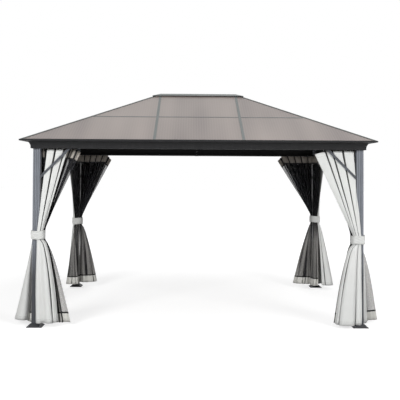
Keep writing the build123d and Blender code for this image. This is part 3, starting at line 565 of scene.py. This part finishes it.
# How the cloths were drawn aside by hand. Millimetres from the post's middle, first along the cloth's own
# beam, then in from it: the panels that show along the track, the way round the post inside the tie, and
# the way of the hem, with how broad each panel is there. Curtains show their outer faces to the garden, nets
# to the inside.
CURTAIN_HANG = {
    "drop": 12, "line": -5, "deep": 30, "tucks": 6, "droop": 40, "rise": 0, "shift": (0, 0),
    "waist": [(44, -14), (58, -2), (66, 14)], "waist_deep": 8, "crush": 9,
    "hem_deep": 24, "hem_panels": (0.5, 2.6, 0.9, 0.6, 0.6, 0.5),
}
NET_HANG = {
    "drop": 4, "line": 58, "deep": -30, "tucks": 6, "droop": 40, "rise": 0, "shift": (0, 0),
    "waist": [(52, 20), (62, 32), (56, 46)], "waist_deep": -8, "crush": 8,
    "hem_deep": -20, "hem_panels": (0.5, 1.7, 0.5, 1.6, 0.7, 0.5),
}
ARRANGED = {
    "front_left": {
        "long_curtain": {
            "panels": [(112, 196), (214, 300), (313, 333)], "flare": 0.52, "tucks": 10,
            "waist": [(18, -52), (48, -57), (72, -42), (80, -8)],
            "hem": [(8, -62), (48, -106), (102, -68), (166, -120), (214, -92), (246, -50), (250, -10)],
            "hem_panels": (2.9, 0.5, 0.3), "rise": 22, "hem_deep": 14},
        "short_curtain": {
            "panels": evenly(52, 400, 4), "flare": 1.2,
            "waist": [(10, -49), (40, -56), (66, -44), (78, -14)],
            "hem": [(210, -52), (130, -94), (70, -126), (48, -166), (66, -218), (122, -264), (212, -256),
                    (270, -170)],
            "hem_panels": (3.2, 0.4, 0.4, 0.3), "rise": 24},
        "long_net": {
            "panels": [(40, 74), (96, 190), (202, 280), (292, 360), (372, 438), (448, 480)], "flare": 0.62,
            "waist": [(74, 6), (78, 24), (68, 44)],
            "hem": [(150, 40), (215, 60), (262, 40), (310, 22), (350, 16), (386, 10)],
            "hem_panels": (0.5, 0.5, 0.5, 0.5, 0.5, 1.3)},
        "short_net": {
            "panels": evenly(58, 440, 5), "flare": 0.7, "hem_deep": 20,
            "waist": [(74, 6), (78, 24), (68, 44)],
            "hem": [(60, -42), (90, -70), (110, -100), (160, -120), (230, -80), (260, 20)],
            "hem_panels": (0.8, 0.8, 0.6, 0.6, 0.6)},
    },
    "front_right": {
        "long_curtain": {
            "panels": [(68, 185), (201, 305), (321, 381), (397, 511)], "flare": 0.52,
            "waist": [(-8, -50), (32, -58), (66, -46), (78, -14)],
            "hem": [(-14, -52), (22, -50), (50, -50), (62, -62), (88, -98), (150, -110), (220, -102),
                    (262, -70), (272, -18)],
            "hem_panels": (0.95, 2.6, 0.3, 0.3)},
        "short_curtain": {
            "panels": evenly(52, 400, 4), "flare": 0.8,
            "waist": [(10, -47), (40, -50), (66, -42), (78, -14)],
            "hem": [(44, -46), (50, -70), (70, -95), (120, -105), (180, -90), (200, -50)],
            "hem_panels": (0.5, 0.5, 0.6, 0.6)},
        "long_net": {
            "panels": [(40, 110), (128, 190), (205, 270), (285, 350), (365, 470)], "flare": 0.6,
            "waist": [(74, 6), (78, 24), (68, 44)],
            "hem": [(90, 30), (150, 80), (220, 60), (262, 30), (290, 4)],
            "hem_panels": (0.5, 0.5, 0.5, 0.5, 0.8)},
        "short_net": {
            "panels": evenly(58, 440, 5), "flare": 0.62, "hem_deep": 20, "shift": (10, -40),
            "waist": [(84, -24), (88, 0), (84, 20)],
            "hem": [(120, -50), (140, -110), (165, -180), (195, -262)],
            "hem_panels": (0.4, 0.4, 0.4, 0.4, 2.4)},
    },
    "back_left": {
        "long_curtain": {
            "panels": evenly(52, 450, 6), "rise": 44, "flare": 0.7,
            "hem": [(62, -14), (52, -62), (104, -96), (190, -96), (258, -70), (268, -18)]},
        "short_curtain": {
            "panels": evenly(52, 760, 6), "rise": 44, "flare": 0.8,
            "waist": [(10, -49), (40, -52), (66, -44), (78, -20)],
            "hem": [(60, -32), (50, -60), (58, -96), (86, -104), (122, -96), (136, -50), (130, -34)],
            "hem_panels": (1, 1, 1, 1, 1, 0.5)},
        "long_net": {
            "panels": [*evenly(30, 478, 5), (492, 525)], "rise": 44, "flare": 0.58, "droop": 70,
            "hem": [(60, 46), (84, 78), (140, 96), (230, 96), (290, 66), (300, 14)]},
        "short_net": {
            "panels": evenly(66, 700, 6), "rise": 44, "flare": 0.8, "hem_deep": 20, "shift": (60, 0),
            "waist": [(54, 52), (60, 10), (58, -42)], "waist_deep": 8,
            "hem": [(170, 80), (156, 20), (176, -70), (236, -105), (290, -80), (310, 0), (304, 80)]},
    },
    "back_right": {
        "long_curtain": {
            "panels": evenly(52, 500, 6), "rise": 28, "flare": 0.7,
            "hem": [(62, -14), (52, -62), (104, -96), (190, -96), (258, -70), (268, -18)]},
        "short_curtain": {
            "panels": evenly(52, 700, 6), "rise": 28, "flare": 0.75,
            "waist": [(10, -49), (40, -52), (66, -44), (78, -20)],
            "hem": [(46, 0), (58, -90), (80, -195), (150, -230), (232, -205), (284, -120), (262, -50)],
            "hem_panels": (0.5, 0.5, 0.5, 0.5, 3.0, 0.5)},
        "long_net": {
            "panels": [*evenly(30, 538, 5), (554, 590)], "rise": 28, "flare": 0.74, "droop": 70,
            "hem": [(60, 46), (84, 78), (150, 96), (250, 96), (328, 66), (340, 14)]},
        "short_net": {
            "panels": evenly(66, 600, 6), "rise": 28, "flare": 0.68,
            "waist": [(54, 52), (60, 10), (58, -42)], "waist_deep": 8,
            "hem": [(100, 16), (112, 62), (160, 94), (230, 94), (290, 66), (300, 14)]},
    },
}
TIE_LOOPS = {
    "front": [(-46, -50), (20, -64), (62, -64), (86, -42), (90, 0), (87, 40), (66, 78), (30, 95), (0, 97),
              (-40, 88), (-62, 50), (-62, 10)],
    "back": [(-42, -42), (20, -43), (73, -40), (80, -4), (78, 34), (60, 64), (30, 80), (-4, 82), (-44, 80),
             (-60, 40), (-56, 6)],
}


def curve_through(points, places):
    """Points on a smooth line through the given ones, at places from 0 to 1 along it, with the direction to
    its left at each, and the line's length."""
    points = np.array(points, float)
    places = np.clip(places, 0, 1)
    steps = np.linspace(0, len(points) - 1, CURVE_STEPS * (len(points) - 1) + 1)
    ends = np.vstack([2 * points[0] - points[1], points, 2 * points[-1] - points[-2]])
    cell = np.minimum(steps.astype(int), len(points) - 2)
    f = (steps - cell)[:, None]
    a, b, c, d = (ends[cell + i] for i in range(4))
    line = 0.5 * (2 * b + (c - a) * f + (2 * a - 5 * b + 4 * c - d) * f**2 + (3 * b - a - 3 * c + d) * f**3)
    run = np.concatenate([[0], np.cumsum(np.linalg.norm(np.diff(line, axis=0), axis=1))])
    length = run[-1]
    run /= length
    at, ahead, behind = (
        np.column_stack([np.interp(np.clip(places + shift, 0, 1), run, line[:, i]) for i in (0, 1)])
        for shift in (0, SIDE_STEP, -SIDE_STEP)
    )
    way = ahead - behind
    way /= np.linalg.norm(way, axis=1)[:, None]
    return at, np.column_stack([-way[:, 1], way[:, 0]]), length


def soften(values):
    """Rounds off the folds of a zigzag."""
    padded = np.concatenate([[2 * values[0] - values[1]], values, [2 * values[-1] - values[-2]]])
    return SOFTENING * (padded[:-2] + padded[2:]) + (1 - 2 * SOFTENING) * padded[1:-1]


def spread_out(widths):
    """Panels of the given relative widths with slots between them, as shares of a line."""
    slot = HEM_SLOT_SHARE * sum(widths) / len(widths)
    whole = sum(widths) + slot * (len(widths) - 1)
    lefts = [sum(widths[:i]) + slot * i for i in range(len(widths))]
    return [(left / whole, (left + width) / whole) for left, width in zip(lefts, widths)]


def folded(path, panels, cloth, deep, tucks, roundness):
    """Where each column of the cloth lies along a path, the path's left side there, and which columns are
    tucked away or show in a slot.

    Each panel is a slightly rounded face. The rest of its cloth is tucked to and fro behind it, as much as
    the cloth's cut width needs, before the slot beside the next panel. The last panel ends in the leading
    edge.
    """
    length = curve_through(path, np.zeros(1))[2]
    widths = [right - left for left, right in panels]
    hidden = cloth / length - sum(widths) - 2 * abs(deep) / length * (len(panels) - 1)
    face = np.linspace(0, 1, PANEL_COLUMNS, endpoint=False)
    run = np.linspace(0, 1, TUCK_COLUMNS, endpoint=False)
    places, depths, tucked, in_slot = [], [], [], []
    for (left, right), (following, _), width in zip(panels, panels[1:], widths):
        places += list(left + width * face)
        depths += list(-roundness * np.sin(math.pi * face))
        tuck = hidden * width / sum(widths[:-1]) / tucks
        tuck = np.clip(tuck, NARROWEST_TUCK * width, WIDEST_TUCK * width)
        folds = [(right, 0)]
        folds += [(right - tuck * (i % 2), DEEPEST_TUCK * i / tucks) for i in range(1, tucks + 1)]
        folds += [(following - SLOT_LEAN * (following - right), 1), (following, 0)]
        for (x0, y0), (x1, y1) in zip(folds, folds[1:]):
            places += list(x0 + (x1 - x0) * run)
            depths += list(y0 + (y1 - y0) * run)
        tucked += [0] * PANEL_COLUMNS + [1] * ((len(folds) - 1) * TUCK_COLUMNS)
        # The columns that show in a slot get painted shade.
        in_slot += [0] * (PANEL_COLUMNS + (len(folds) - 3) * TUCK_COLUMNS) + [1] * (2 * TUCK_COLUMNS)
    left, right = panels[-1]
    face = np.linspace(0, 1, PANEL_COLUMNS)
    places += list(left + (right - left) * face)
    depths += list(-roundness * np.sin(math.pi * face))
    tucked += [0] * PANEL_COLUMNS
    in_slot += [0] * PANEL_COLUMNS
    at, side, _ = curve_through(path, soften(np.array(places)))
    return at + side * (soften(np.array(depths)) * deep)[:, None], side, np.array(tucked, bool), in_slot


def cloth_mesh(name, grid, cut, facing, material, thickness, round_loop=False, in_slot=None):
    """A closed thin mesh from a grid of points. Its UV map is the cut cloth, in metres."""
    rows, columns = len(grid), len(grid[0])
    index = np.arange(rows * columns).reshape(rows, columns)
    if round_loop:
        index = np.column_stack([index, index[:, 0]])
    quads = np.stack([index[:-1, :-1], index[:-1, 1:], index[1:, 1:], index[1:, :-1]], axis=-1)
    quads = quads.reshape(-1, 4)
    if facing < 0:
        quads = quads[:, ::-1]
    mesh = bpy.data.meshes.new(name)
    mesh.from_pydata(np.reshape(grid, (-1, 3)).tolist(), [], quads.tolist())
    corner_index = np.empty(len(mesh.loops), int)
    mesh.loops.foreach_get("vertex_index", corner_index)
    row, column = np.divmod(corner_index, columns)
    uv = mesh.uv_layers.new(name="cloth")
    steps = np.linalg.norm(np.diff(grid, axis=0), axis=2).mean(axis=1)
    down = np.concatenate([[0], np.cumsum(steps)]) / steps.sum() * cut[1]
    over = np.linspace(0, cut[0], columns)
    uv.data.foreach_set("uv", np.column_stack([over[column], down[row]]).ravel())
    mesh.polygons.foreach_set("use_smooth", [True] * len(mesh.polygons))
    mesh.materials.append(material)
    # Which points show in a slot, for the painted shade there.
    if in_slot:
        mesh.attributes.new("in_slot", "FLOAT", "POINT").data.foreach_set("value", in_slot * rows)
    piece = bpy.data.objects.new(name, mesh)
    bpy.context.scene.collection.objects.link(piece)
    shell = piece.modifiers.new("cloth_thickness", "SOLIDIFY")
    shell.thickness = thickness
    shell.offset = 0
    return piece


def clear_of_post(flat, need):
    """Moves what would cut into the post out to a rounded square round it."""
    reach = (np.abs(flat) ** POST_SQUARENESS).sum(axis=1) ** (1 / POST_SQUARENESS)
    return flat * np.maximum(1, need / np.maximum(reach, 1))[:, None]


def beside_post(corner, along, inward, turned):
    """X and Y of what lies so many millimetres along a corner's beam and in from it. A turned beam runs
    along Y."""
    middle, in_x, in_y = POST_PLACES[corner]
    a, b = (inward, along) if turned else (along, inward)
    return middle.x + in_x * a * MM, middle.y + in_y * b * MM


def hung_cloth(name, corner, spec, cut, turned, material):
    """One cloth: pleated along its track, gathered round the post at the tie and flared to its hem."""
    cloth = cut[0] / MM * ROUNDING_SHARE
    start, end = spec["panels"][0][0], spec["panels"][-1][1]
    reach = end - start
    panels = [((left - start) / reach, (right - start) / reach) for left, right in spec["panels"]]
    hem_panels = spread_out(spec["hem_panels"])
    track = [(start, spec["line"]), (end, spec["line"])]
    waist_deep, tucks = spec["waist_deep"], spec["tucks"]
    hang, *_ = folded(track, panels, cloth, spec["deep"], tucks, FACE_ROUNDNESS)
    waist, side, tucked, in_slot = folded(spec["waist"], panels, cloth, waist_deep, tucks, FACE_ROUNDNESS)
    hem, hem_side, *_ = folded(spec["hem"], hem_panels, cloth, spec["hem_deep"], tucks, HEM_ROUNDNESS)
    columns = len(waist)
    share = np.linspace(0, 1, columns)
    zigzag = np.where(np.arange(columns) % 2, 1, 0) * rng.uniform(*CRUSH_SPREAD, columns) * tucked
    swing = min(2 * spec["crush"], cut[0] / MM / tucked.sum())
    crush = side * (swing * np.sign(waist_deep) * zigzag)[:, None]
    shift = np.array(spec["shift"], float)
    droop = spec["droop"] * MM * np.clip((share - LAST_HOOK) / (1 - LAST_HOOK), 0, 1) ** 2
    sway = rng.uniform(0, 2 * math.pi, 4)
    ripple = np.sin(2 * math.pi * np.arange(columns) / RIPPLE_COLUMNS + sway[0]) * ~tucked
    tie_low, tie_high = (edge.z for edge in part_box(f"{corner}_tie"))
    track_z = TRACK_UNDERSIDE - spec["drop"] * MM - droop
    waist_top, waist_low = tie_high + TIE_EDGE, tie_low - TIE_EDGE
    hem_z = HEM_Z + HEM_LIFT * share**LIFT_EASE + spec["rise"] * MM
    stages = [("upper", k) for k in np.linspace(0, 1, UPPER_ROWS, endpoint=False)]
    stages += [("tied", k) for k in np.linspace(0, 1, TIE_ROWS, endpoint=False)]
    stages += [("lower", k) for k in np.linspace(0, 1, LOWER_ROWS)]
    rows = []
    for stage, k in stages:
        if stage == "upper":
            flat = hang * (1 - k) + waist * k + crush * k**CRUSH_EASE
            height = track_z * (1 - k) + waist_top * k
            slack = k * (1 - k)
        elif stage == "tied":
            flat = waist + crush
            height = np.full(columns, waist_top * (1 - k) + waist_low * k)
            slack = 0
        else:
            flare = k ** spec["flare"]
            shifted = waist + shift * min(k / SHIFT_REACH, 1)
            flat = shifted * (1 - flare) + hem * flare + crush * (1 - k) ** CRUSH_EASE
            flat = flat + hem_side * (RIPPLE * k * ripple)[:, None]
            height = waist_low * (1 - k) + hem_z * k
            slack = k
        waves = [np.sin(over * share + down * k + turn) for (over, down), turn in zip(SWAY_WAVES, sway)]
        flat = flat + slack * SWAY * np.column_stack([waves[0] + waves[1], waves[2] + waves[3]])
        flat = clear_of_post(flat, POST_HALF + np.where(tucked, TUCK_CLEARANCE, FACE_CLEARANCE))
        rows.append(np.column_stack([*beside_post(corner, flat[:, 0], flat[:, 1], turned), height]))
    _, in_x, in_y = POST_PLACES[corner]
    facing = in_x * in_y * (1 if turned else -1)
    return cloth_mesh(name, rows, cut, facing, material, CLOTH_THICKNESS, in_slot=in_slot)


def tie_band(name, corner):
    """A cloth band, hauled tight round the post and bundles, that puffs out between slanting creases."""
    loop = TIE_LOOPS[corner.split("_")[0]]
    bottom, top = (edge.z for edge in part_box(f"{corner}_tie"))
    share = np.linspace(0, 1, TIE_COLUMNS, endpoint=False)
    around, side, length = curve_through(loop + loop[:1], share)
    phase = rng.uniform(0, 2 * math.pi, 3)
    rows = []
    for v in np.linspace(0, 1, TIE_BAND_ROWS):
        out = TIE_SWELL * math.sin(math.pi * v) - TIE_TIGHTNESS
        for (count, slant, puff, fullness), turn in zip(TIE_CREASES, phase):
            out = out + puff * np.abs(np.sin(math.pi * (count * share + slant * v) + turn)) ** fullness
        flat = around - side * out[:, None]
        wave = TIE_WAVE * MM * np.sin(2 * math.pi * TIE_WAVES * share + phase[2])
        height = top * (1 - v) + bottom * v + wave * (1 if v in (0, 1) else INNER_WAVE_SHARE)
        rows.append(np.column_stack([*beside_post(corner, flat[:, 0], flat[:, 1], turned=False), height]))
    _, in_x, in_y = POST_PLACES[corner]
    cut = (length * MM, top - bottom)
    return cloth_mesh(name, rows, cut, in_x * in_y, TIE, TIE_THICKNESS, round_loop=True), cut


for corner in CORNERS:
    for kind, spec in ARRANGED[corner].items():
        side, cloth = kind.split("_")
        hang, material = (CURTAIN_HANG, CURTAIN) if cloth == "curtain" else (NET_HANG, NET)
        cut = LONG_CUT if side == "long" else SHORT_CUT
        piece = hung_cloth(f"{corner}_{kind}", corner, {**hang, **spec}, cut, side == "short", material)
        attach(piece, "root")
        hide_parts(f"{corner}_{cloth}s")
    piece, cut = tie_band(f"{corner}_tie_band", corner)
    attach(piece, "root")
    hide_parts(f"{corner}_tie")


# Hooks, bolts and screws, in millimetres. A turned shape is given as radii and heights from its seat up.
TRACK_SLOTS = {"curtain": 5.8, "net": 26.8}
HOOK_INSET, NARROW_PANEL = 12, 50
RUNNER = [(2.2, -4.0), (5.0, -3.2), (5.6, -1.6), (5.0, -0.4), (1.7, 0.6), (1.5, 2.5)]
RING_RADIUS, RING_WIRE, RING_DROP = 5.0, 1.2, 8.0
RING_STEPS, RING_SIDES = 20, 8
WASHER = [(9.8, 0.0), (10.5, 0.5), (10.5, 1.5), (9.8, 2.0)]
BOLT_HEAD = [(9.6, 2.0), (9.8, 2.4), (9.8, 7.6), (8.3, 8.6), (5.0, 8.8), (4.4, 7.9)]
SCREW_HEAD = [(3.4, 0.0), (3.5, 0.8), (3.1, 1.7), (2.2, 2.3), (1.4, 2.4), (1.3, 1.5)]
SPLICE_WIDTH, SPLICE_HEIGHT, SPLICE_THICKNESS = 90.0, 30.0, 2.5
SPLICE_CORNER, SPLICE_EDGE, CORNER_STEPS = 4.0, 0.6, 6
SPLICE_FACE, SPLICE_LIFT = -4.7, 40.0
SPLICE_SCREWS_X, SPLICE_SCREWS_Z = (-32, -14, 14, 32), (-8, 8)
ANCHOR_REACH, ANCHOR_SEAT = 65.0, 9.0
BRACE_LEG, BRACE_DEPTH, BRACE_GROOVE_DEPTH = 345.0, 26.0, 2.0
BRACE_FACES = (-30.7, -12.7)
SCREW_INSET = 30.0
EDGE_ANGLE = math.radians(38)


def stacked(rings):
    """Points and faces of a shape with the given outlines from its seat up, closed at both ends."""
    sides = len(rings[0])
    last = (len(rings) - 1) * sides
    faces = [tuple(range(sides))[::-1], tuple(range(last, last + sides))]
    for start in range(0, last, sides):
        for i in range(sides):
            a, b = start + i, start + (i + 1) % sides
            faces.append((a, b, b + sides, a + sides))
    return np.vstack(rings), faces


def turned_shape(profile, sides):
    """A shape turned round an upright axis."""
    turns = np.arange(sides) * 2 * math.pi / sides
    circle = np.column_stack([np.cos(turns), np.sin(turns), np.zeros(sides)])
    return stacked([circle * r + (0, 0, z) for r, z in profile])


def splice_plate():
    """A flat plate with rounded corners and eased edges."""
    quarters = [np.linspace(start, start + 90, CORNER_STEPS) for start in (0, 90, 180, 270)]
    turns = np.radians(np.concatenate(quarters))
    ways = np.repeat([(1, 1), (-1, 1), (-1, -1), (1, -1)], CORNER_STEPS, axis=0)
    middles = ways * (SPLICE_WIDTH / 2 - SPLICE_CORNER, SPLICE_HEIGHT / 2 - SPLICE_CORNER)
    rings = []
    for inset, z in ((0, 0), (0, SPLICE_THICKNESS - SPLICE_EDGE), (SPLICE_EDGE, SPLICE_THICKNESS)):
        flat = middles + (SPLICE_CORNER - inset) * np.column_stack([np.cos(turns), np.sin(turns)])
        rings.append(np.column_stack([flat, np.full(len(flat), z)]))
    return stacked(rings)


def hook_ring():
    """Points and faces of an upright wire ring that hangs below its runner."""
    turns = np.arange(RING_STEPS) * 2 * math.pi / RING_STEPS
    rolls = np.arange(RING_SIDES) * 2 * math.pi / RING_SIDES
    points = np.array(
        [((RING_RADIUS + RING_WIRE * math.cos(r)) * math.cos(t), RING_WIRE * math.sin(r),
          (RING_RADIUS + RING_WIRE * math.cos(r)) * math.sin(t) - RING_DROP) for t in turns for r in rolls]
    )
    index = np.arange(RING_STEPS * RING_SIDES).reshape(RING_STEPS, RING_SIDES)
    beside, above = np.roll(index, -1, axis=1), np.roll(index, -1, axis=0)
    faces = np.stack([index, above, np.roll(above, -1, axis=1), beside], axis=-1).reshape(-1, 4)
    return points, [tuple(face) for face in faces.tolist()]


def fittings(name, shapes, material):
    """One piece made of many small shapes, each with its place in metres, the way its axis points and how
    far it is spun."""
    points, faces = [], []
    for (shape, sides), place, axis, spin in shapes:
        turn = np.array(Vector(axis).to_track_quat("Z", "Y").to_matrix() @ Matrix.Rotation(spin, 3, "Z"))
        start = sum(len(block) for block in points)
        points.append(shape @ turn.T * MM + np.array(place))
        faces += [tuple(start + i for i in face) for face in sides]
    mesh = bpy.data.meshes.new(name)
    mesh.from_pydata(np.vstack(points).tolist(), [], faces)
    mesh.polygons.foreach_set("use_smooth", [True] * len(mesh.polygons))
    mesh.set_sharp_from_angle(angle=EDGE_ANGLE)
    mesh.materials.append(material)
    piece = bpy.data.objects.new(name, mesh)
    bpy.context.scene.collection.objects.link(piece)
    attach(piece, "root")


runner, ring = turned_shape(RUNNER, sides=16), hook_ring()
washer, bolt_head = turned_shape(WASHER, sides=24), turned_shape(BOLT_HEAD, sides=6)
screw_head = turned_shape(SCREW_HEAD, sides=16)
brace_run = BRACE_LEG - BRACE_DEPTH / math.sqrt(2)
up = (0, 0, 1)
for corner in CORNERS:
    middle, in_x, in_y = POST_PLACES[corner]
    gliders = []
    for kind, spec in ARRANGED[corner].items():
        side, cloth = kind.split("_")
        start, end = spec["panels"][0][0], spec["panels"][-1][1]
        for left, right in spec["panels"]:
            wide = right - left > NARROW_PANEL
            for along in (left + HOOK_INSET, right - HOOK_INSET) if wide else ((left + right) / 2,):
                if along > start + LAST_HOOK * (end - start):
                    continue
                place = (*beside_post(corner, along, TRACK_SLOTS[cloth], side == "short"), TRACK_UNDERSIDE)
                spin = 0 if side == "short" else math.pi / 2
                gliders += [(runner, place, up, 0), (ring, place, up, spin)]
    fittings(f"{corner}_gliders", gliders, GLIDER_NYLON)
    bolts = []
    for a in (-ANCHOR_REACH, ANCHOR_REACH):
        for b in (-ANCHOR_REACH, ANCHOR_REACH):
            place = (middle.x + a * MM, middle.y + b * MM, ANCHOR_SEAT * MM)
            bolts += [(washer, place, up, 0), (bolt_head, place, up, rng.uniform(0, math.pi / 3))]
    fittings(f"{corner}_anchor_bolts", bolts, BOLT_STEEL)
    screws = []
    for side in ("long", "short"):
        for face, out in zip(BRACE_FACES, (-1, 1)):
            for share in (SCREW_INSET, brace_run - SCREW_INSET):
                inward = face - out * BRACE_GROOVE_DEPTH
                place = beside_post(corner, POST_HALF + share, inward, side == "short")
                axis = (0, in_y * out, 0) if side == "long" else (in_x * out, 0, 0)
                screws.append((screw_head, (*place, TRACK_UNDERSIDE - (brace_run - share) * MM), axis, 0))
    fittings(f"{corner}_brace_screws", screws, SCREW_STEEL)

# A splice plate over the seam inside each long beam.
splice = splice_plate()
splice_z = TRACK_UNDERSIDE + SPLICE_LIFT * MM
for side, in_y in (("front", 1), ("back", -1)):
    face = in_y * (SPLICE_FACE * MM - POST_MIDDLE[1])
    inward = (0, in_y, 0)
    fittings(f"{side}_beam_splice", [(splice, (0, face, splice_z), inward, 0)], SHADED_BEAM_PAINT)
    heads = [
        (screw_head, (x * MM, face + in_y * SPLICE_THICKNESS * MM, splice_z + z * MM), inward, 0)
        for x in SPLICE_SCREWS_X
        for z in SPLICE_SCREWS_Z
    ]
    fittings(f"{side}_beam_splice_screws", heads, SCREW_STEEL)


# The studio, in metres and watts, and the camera, in the photograph's pixels, metres and radians.
AMBIENT = 0.05
FLOOR_TONE = "#b8b8b8"
FLOOR_HALF, FLOOR_DROP = 60, 0.5 * MM
GLOW_START, GLOW_END, NEAR_GLOW, FAR_GLOW = 3.0, 9.0, 0.7, 1.0
PHOTO_SIDE, SENSOR_WIDTH = 400, 36
FOCAL_LENGTH, FRAME_SHIFT = 658.6, -40
CAMERA_PLACE = (-0.0925, -8.8165, 1.7153)
CAMERA_YAW, CAMERA_PITCH, CAMERA_ROLL = -0.01405, 0.02225, 0.00538


def when_seen(tree, seen, otherwise):
    """One strength where the camera, a gloss or a see-through surface looks, and another as light."""
    path = add(tree, "ShaderNodeLightPath").outputs
    looks = path["Is Camera Ray"]
    for ray in ("Is Glossy Ray", "Is Transmission Ray"):
        looks = add(tree, "ShaderNodeMath", {0: looks, 1: path[ray]}, operation="MAXIMUM").outputs[0]
    strength = add(tree, "ShaderNodeMapRange", {"Value": looks, "To Min": otherwise, "To Max": seen})
    return strength.outputs["Result"]


def soft_box(name, place, target, size, watts):
    """A large square lamp that points at a target. Gloss doesn't mirror it, or it would bleach the roof
    sheets."""
    lamp = bpy.data.lights.new(name, "AREA")
    lamp.size = size
    lamp.energy = watts
    holder = bpy.data.objects.new(name, lamp)
    holder.location = place
    holder.rotation_euler = (Vector(target) - Vector(place)).to_track_quat("-Z", "Y").to_euler()
    holder.visible_glossy = False
    bpy.context.scene.collection.objects.link(holder)


world = bpy.data.worlds.new("white_studio")
bpy.context.scene.world = world
world.use_nodes = True
tree = world.node_tree
tree.nodes.clear()
sky = add(tree, "ShaderNodeBackground", {"Color": (1, 1, 1, 1), "Strength": when_seen(tree, 1.0, AMBIENT)})
tree.links.new(sky.outputs[0], add(tree, "ShaderNodeOutputWorld").inputs["Surface"])

# The floor's own glow grows with the distance, so that it meets the white background without a line.
paving, tree, output = start_material("pale_studio_floor")
place = add(tree, "ShaderNodeTexCoord").outputs["Object"]
away = add(tree, "ShaderNodeVectorMath", {0: place}, operation="LENGTH").outputs["Value"]
glow = add(
    tree,
    "ShaderNodeMapRange",
    {"Value": away, "From Min": GLOW_START, "From Max": GLOW_END, "To Min": NEAR_GLOW, "To Max": FAR_GLOW},
).outputs["Result"]
pale = add(tree, "ShaderNodeBsdfDiffuse", {"Color": linear(FLOOR_TONE)})
bright = add(tree, "ShaderNodeEmission", {"Color": (1, 1, 1, 1), "Strength": when_seen(tree, glow, 0.0)})
both = add(tree, "ShaderNodeAddShader", {0: pale.outputs[0], 1: bright.outputs[0]})
tree.links.new(both.outputs[0], output.inputs["Surface"])
mesh = bpy.data.meshes.new("floor")
floor_corners = [(x * FLOOR_HALF, y * FLOOR_HALF, 0) for x, y in ((-1, -1), (1, -1), (1, 1), (-1, 1))]
mesh.from_pydata(floor_corners, [], [(0, 1, 2, 3)])
mesh.materials.append(paving)
floor = bpy.data.objects.new("floor", mesh)
bpy.context.scene.collection.objects.link(floor)
floor.location.z = -FLOOR_DROP
floor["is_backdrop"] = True

soft_box("key_light", (-5, -8, 4.7), (0, 0, 1.2), 3, 540)
soft_box("fill_light", (6, -7.5, 4.4), (0, 0, 1.2), 3, 400)
soft_box("back_light", (0, 9, 4.5), (0, 0, 1.2), 4, 340)
soft_box("roof_light", (3, -2, 9), (0.4, 0, 2.4), 6, 300)

eye = bpy.data.cameras.new("photo_camera")
eye.sensor_width = SENSOR_WIDTH
eye.lens = FOCAL_LENGTH * SENSOR_WIDTH / PHOTO_SIDE
eye.shift_y = FRAME_SHIFT / PHOTO_SIDE
camera = bpy.data.objects.new("photo_camera", eye)
level = Matrix.Rotation(math.pi / 2 + CAMERA_PITCH, 4, "X") @ Matrix.Rotation(CAMERA_ROLL, 4, "Z")
camera.matrix_world = Matrix.Translation(CAMERA_PLACE) @ Matrix.Rotation(CAMERA_YAW, 4, "Z") @ level
bpy.context.scene.collection.objects.link(camera)
bpy.context.scene.camera = camera
bpy.context.scene.view_settings.view_transform = "Standard"

low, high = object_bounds()
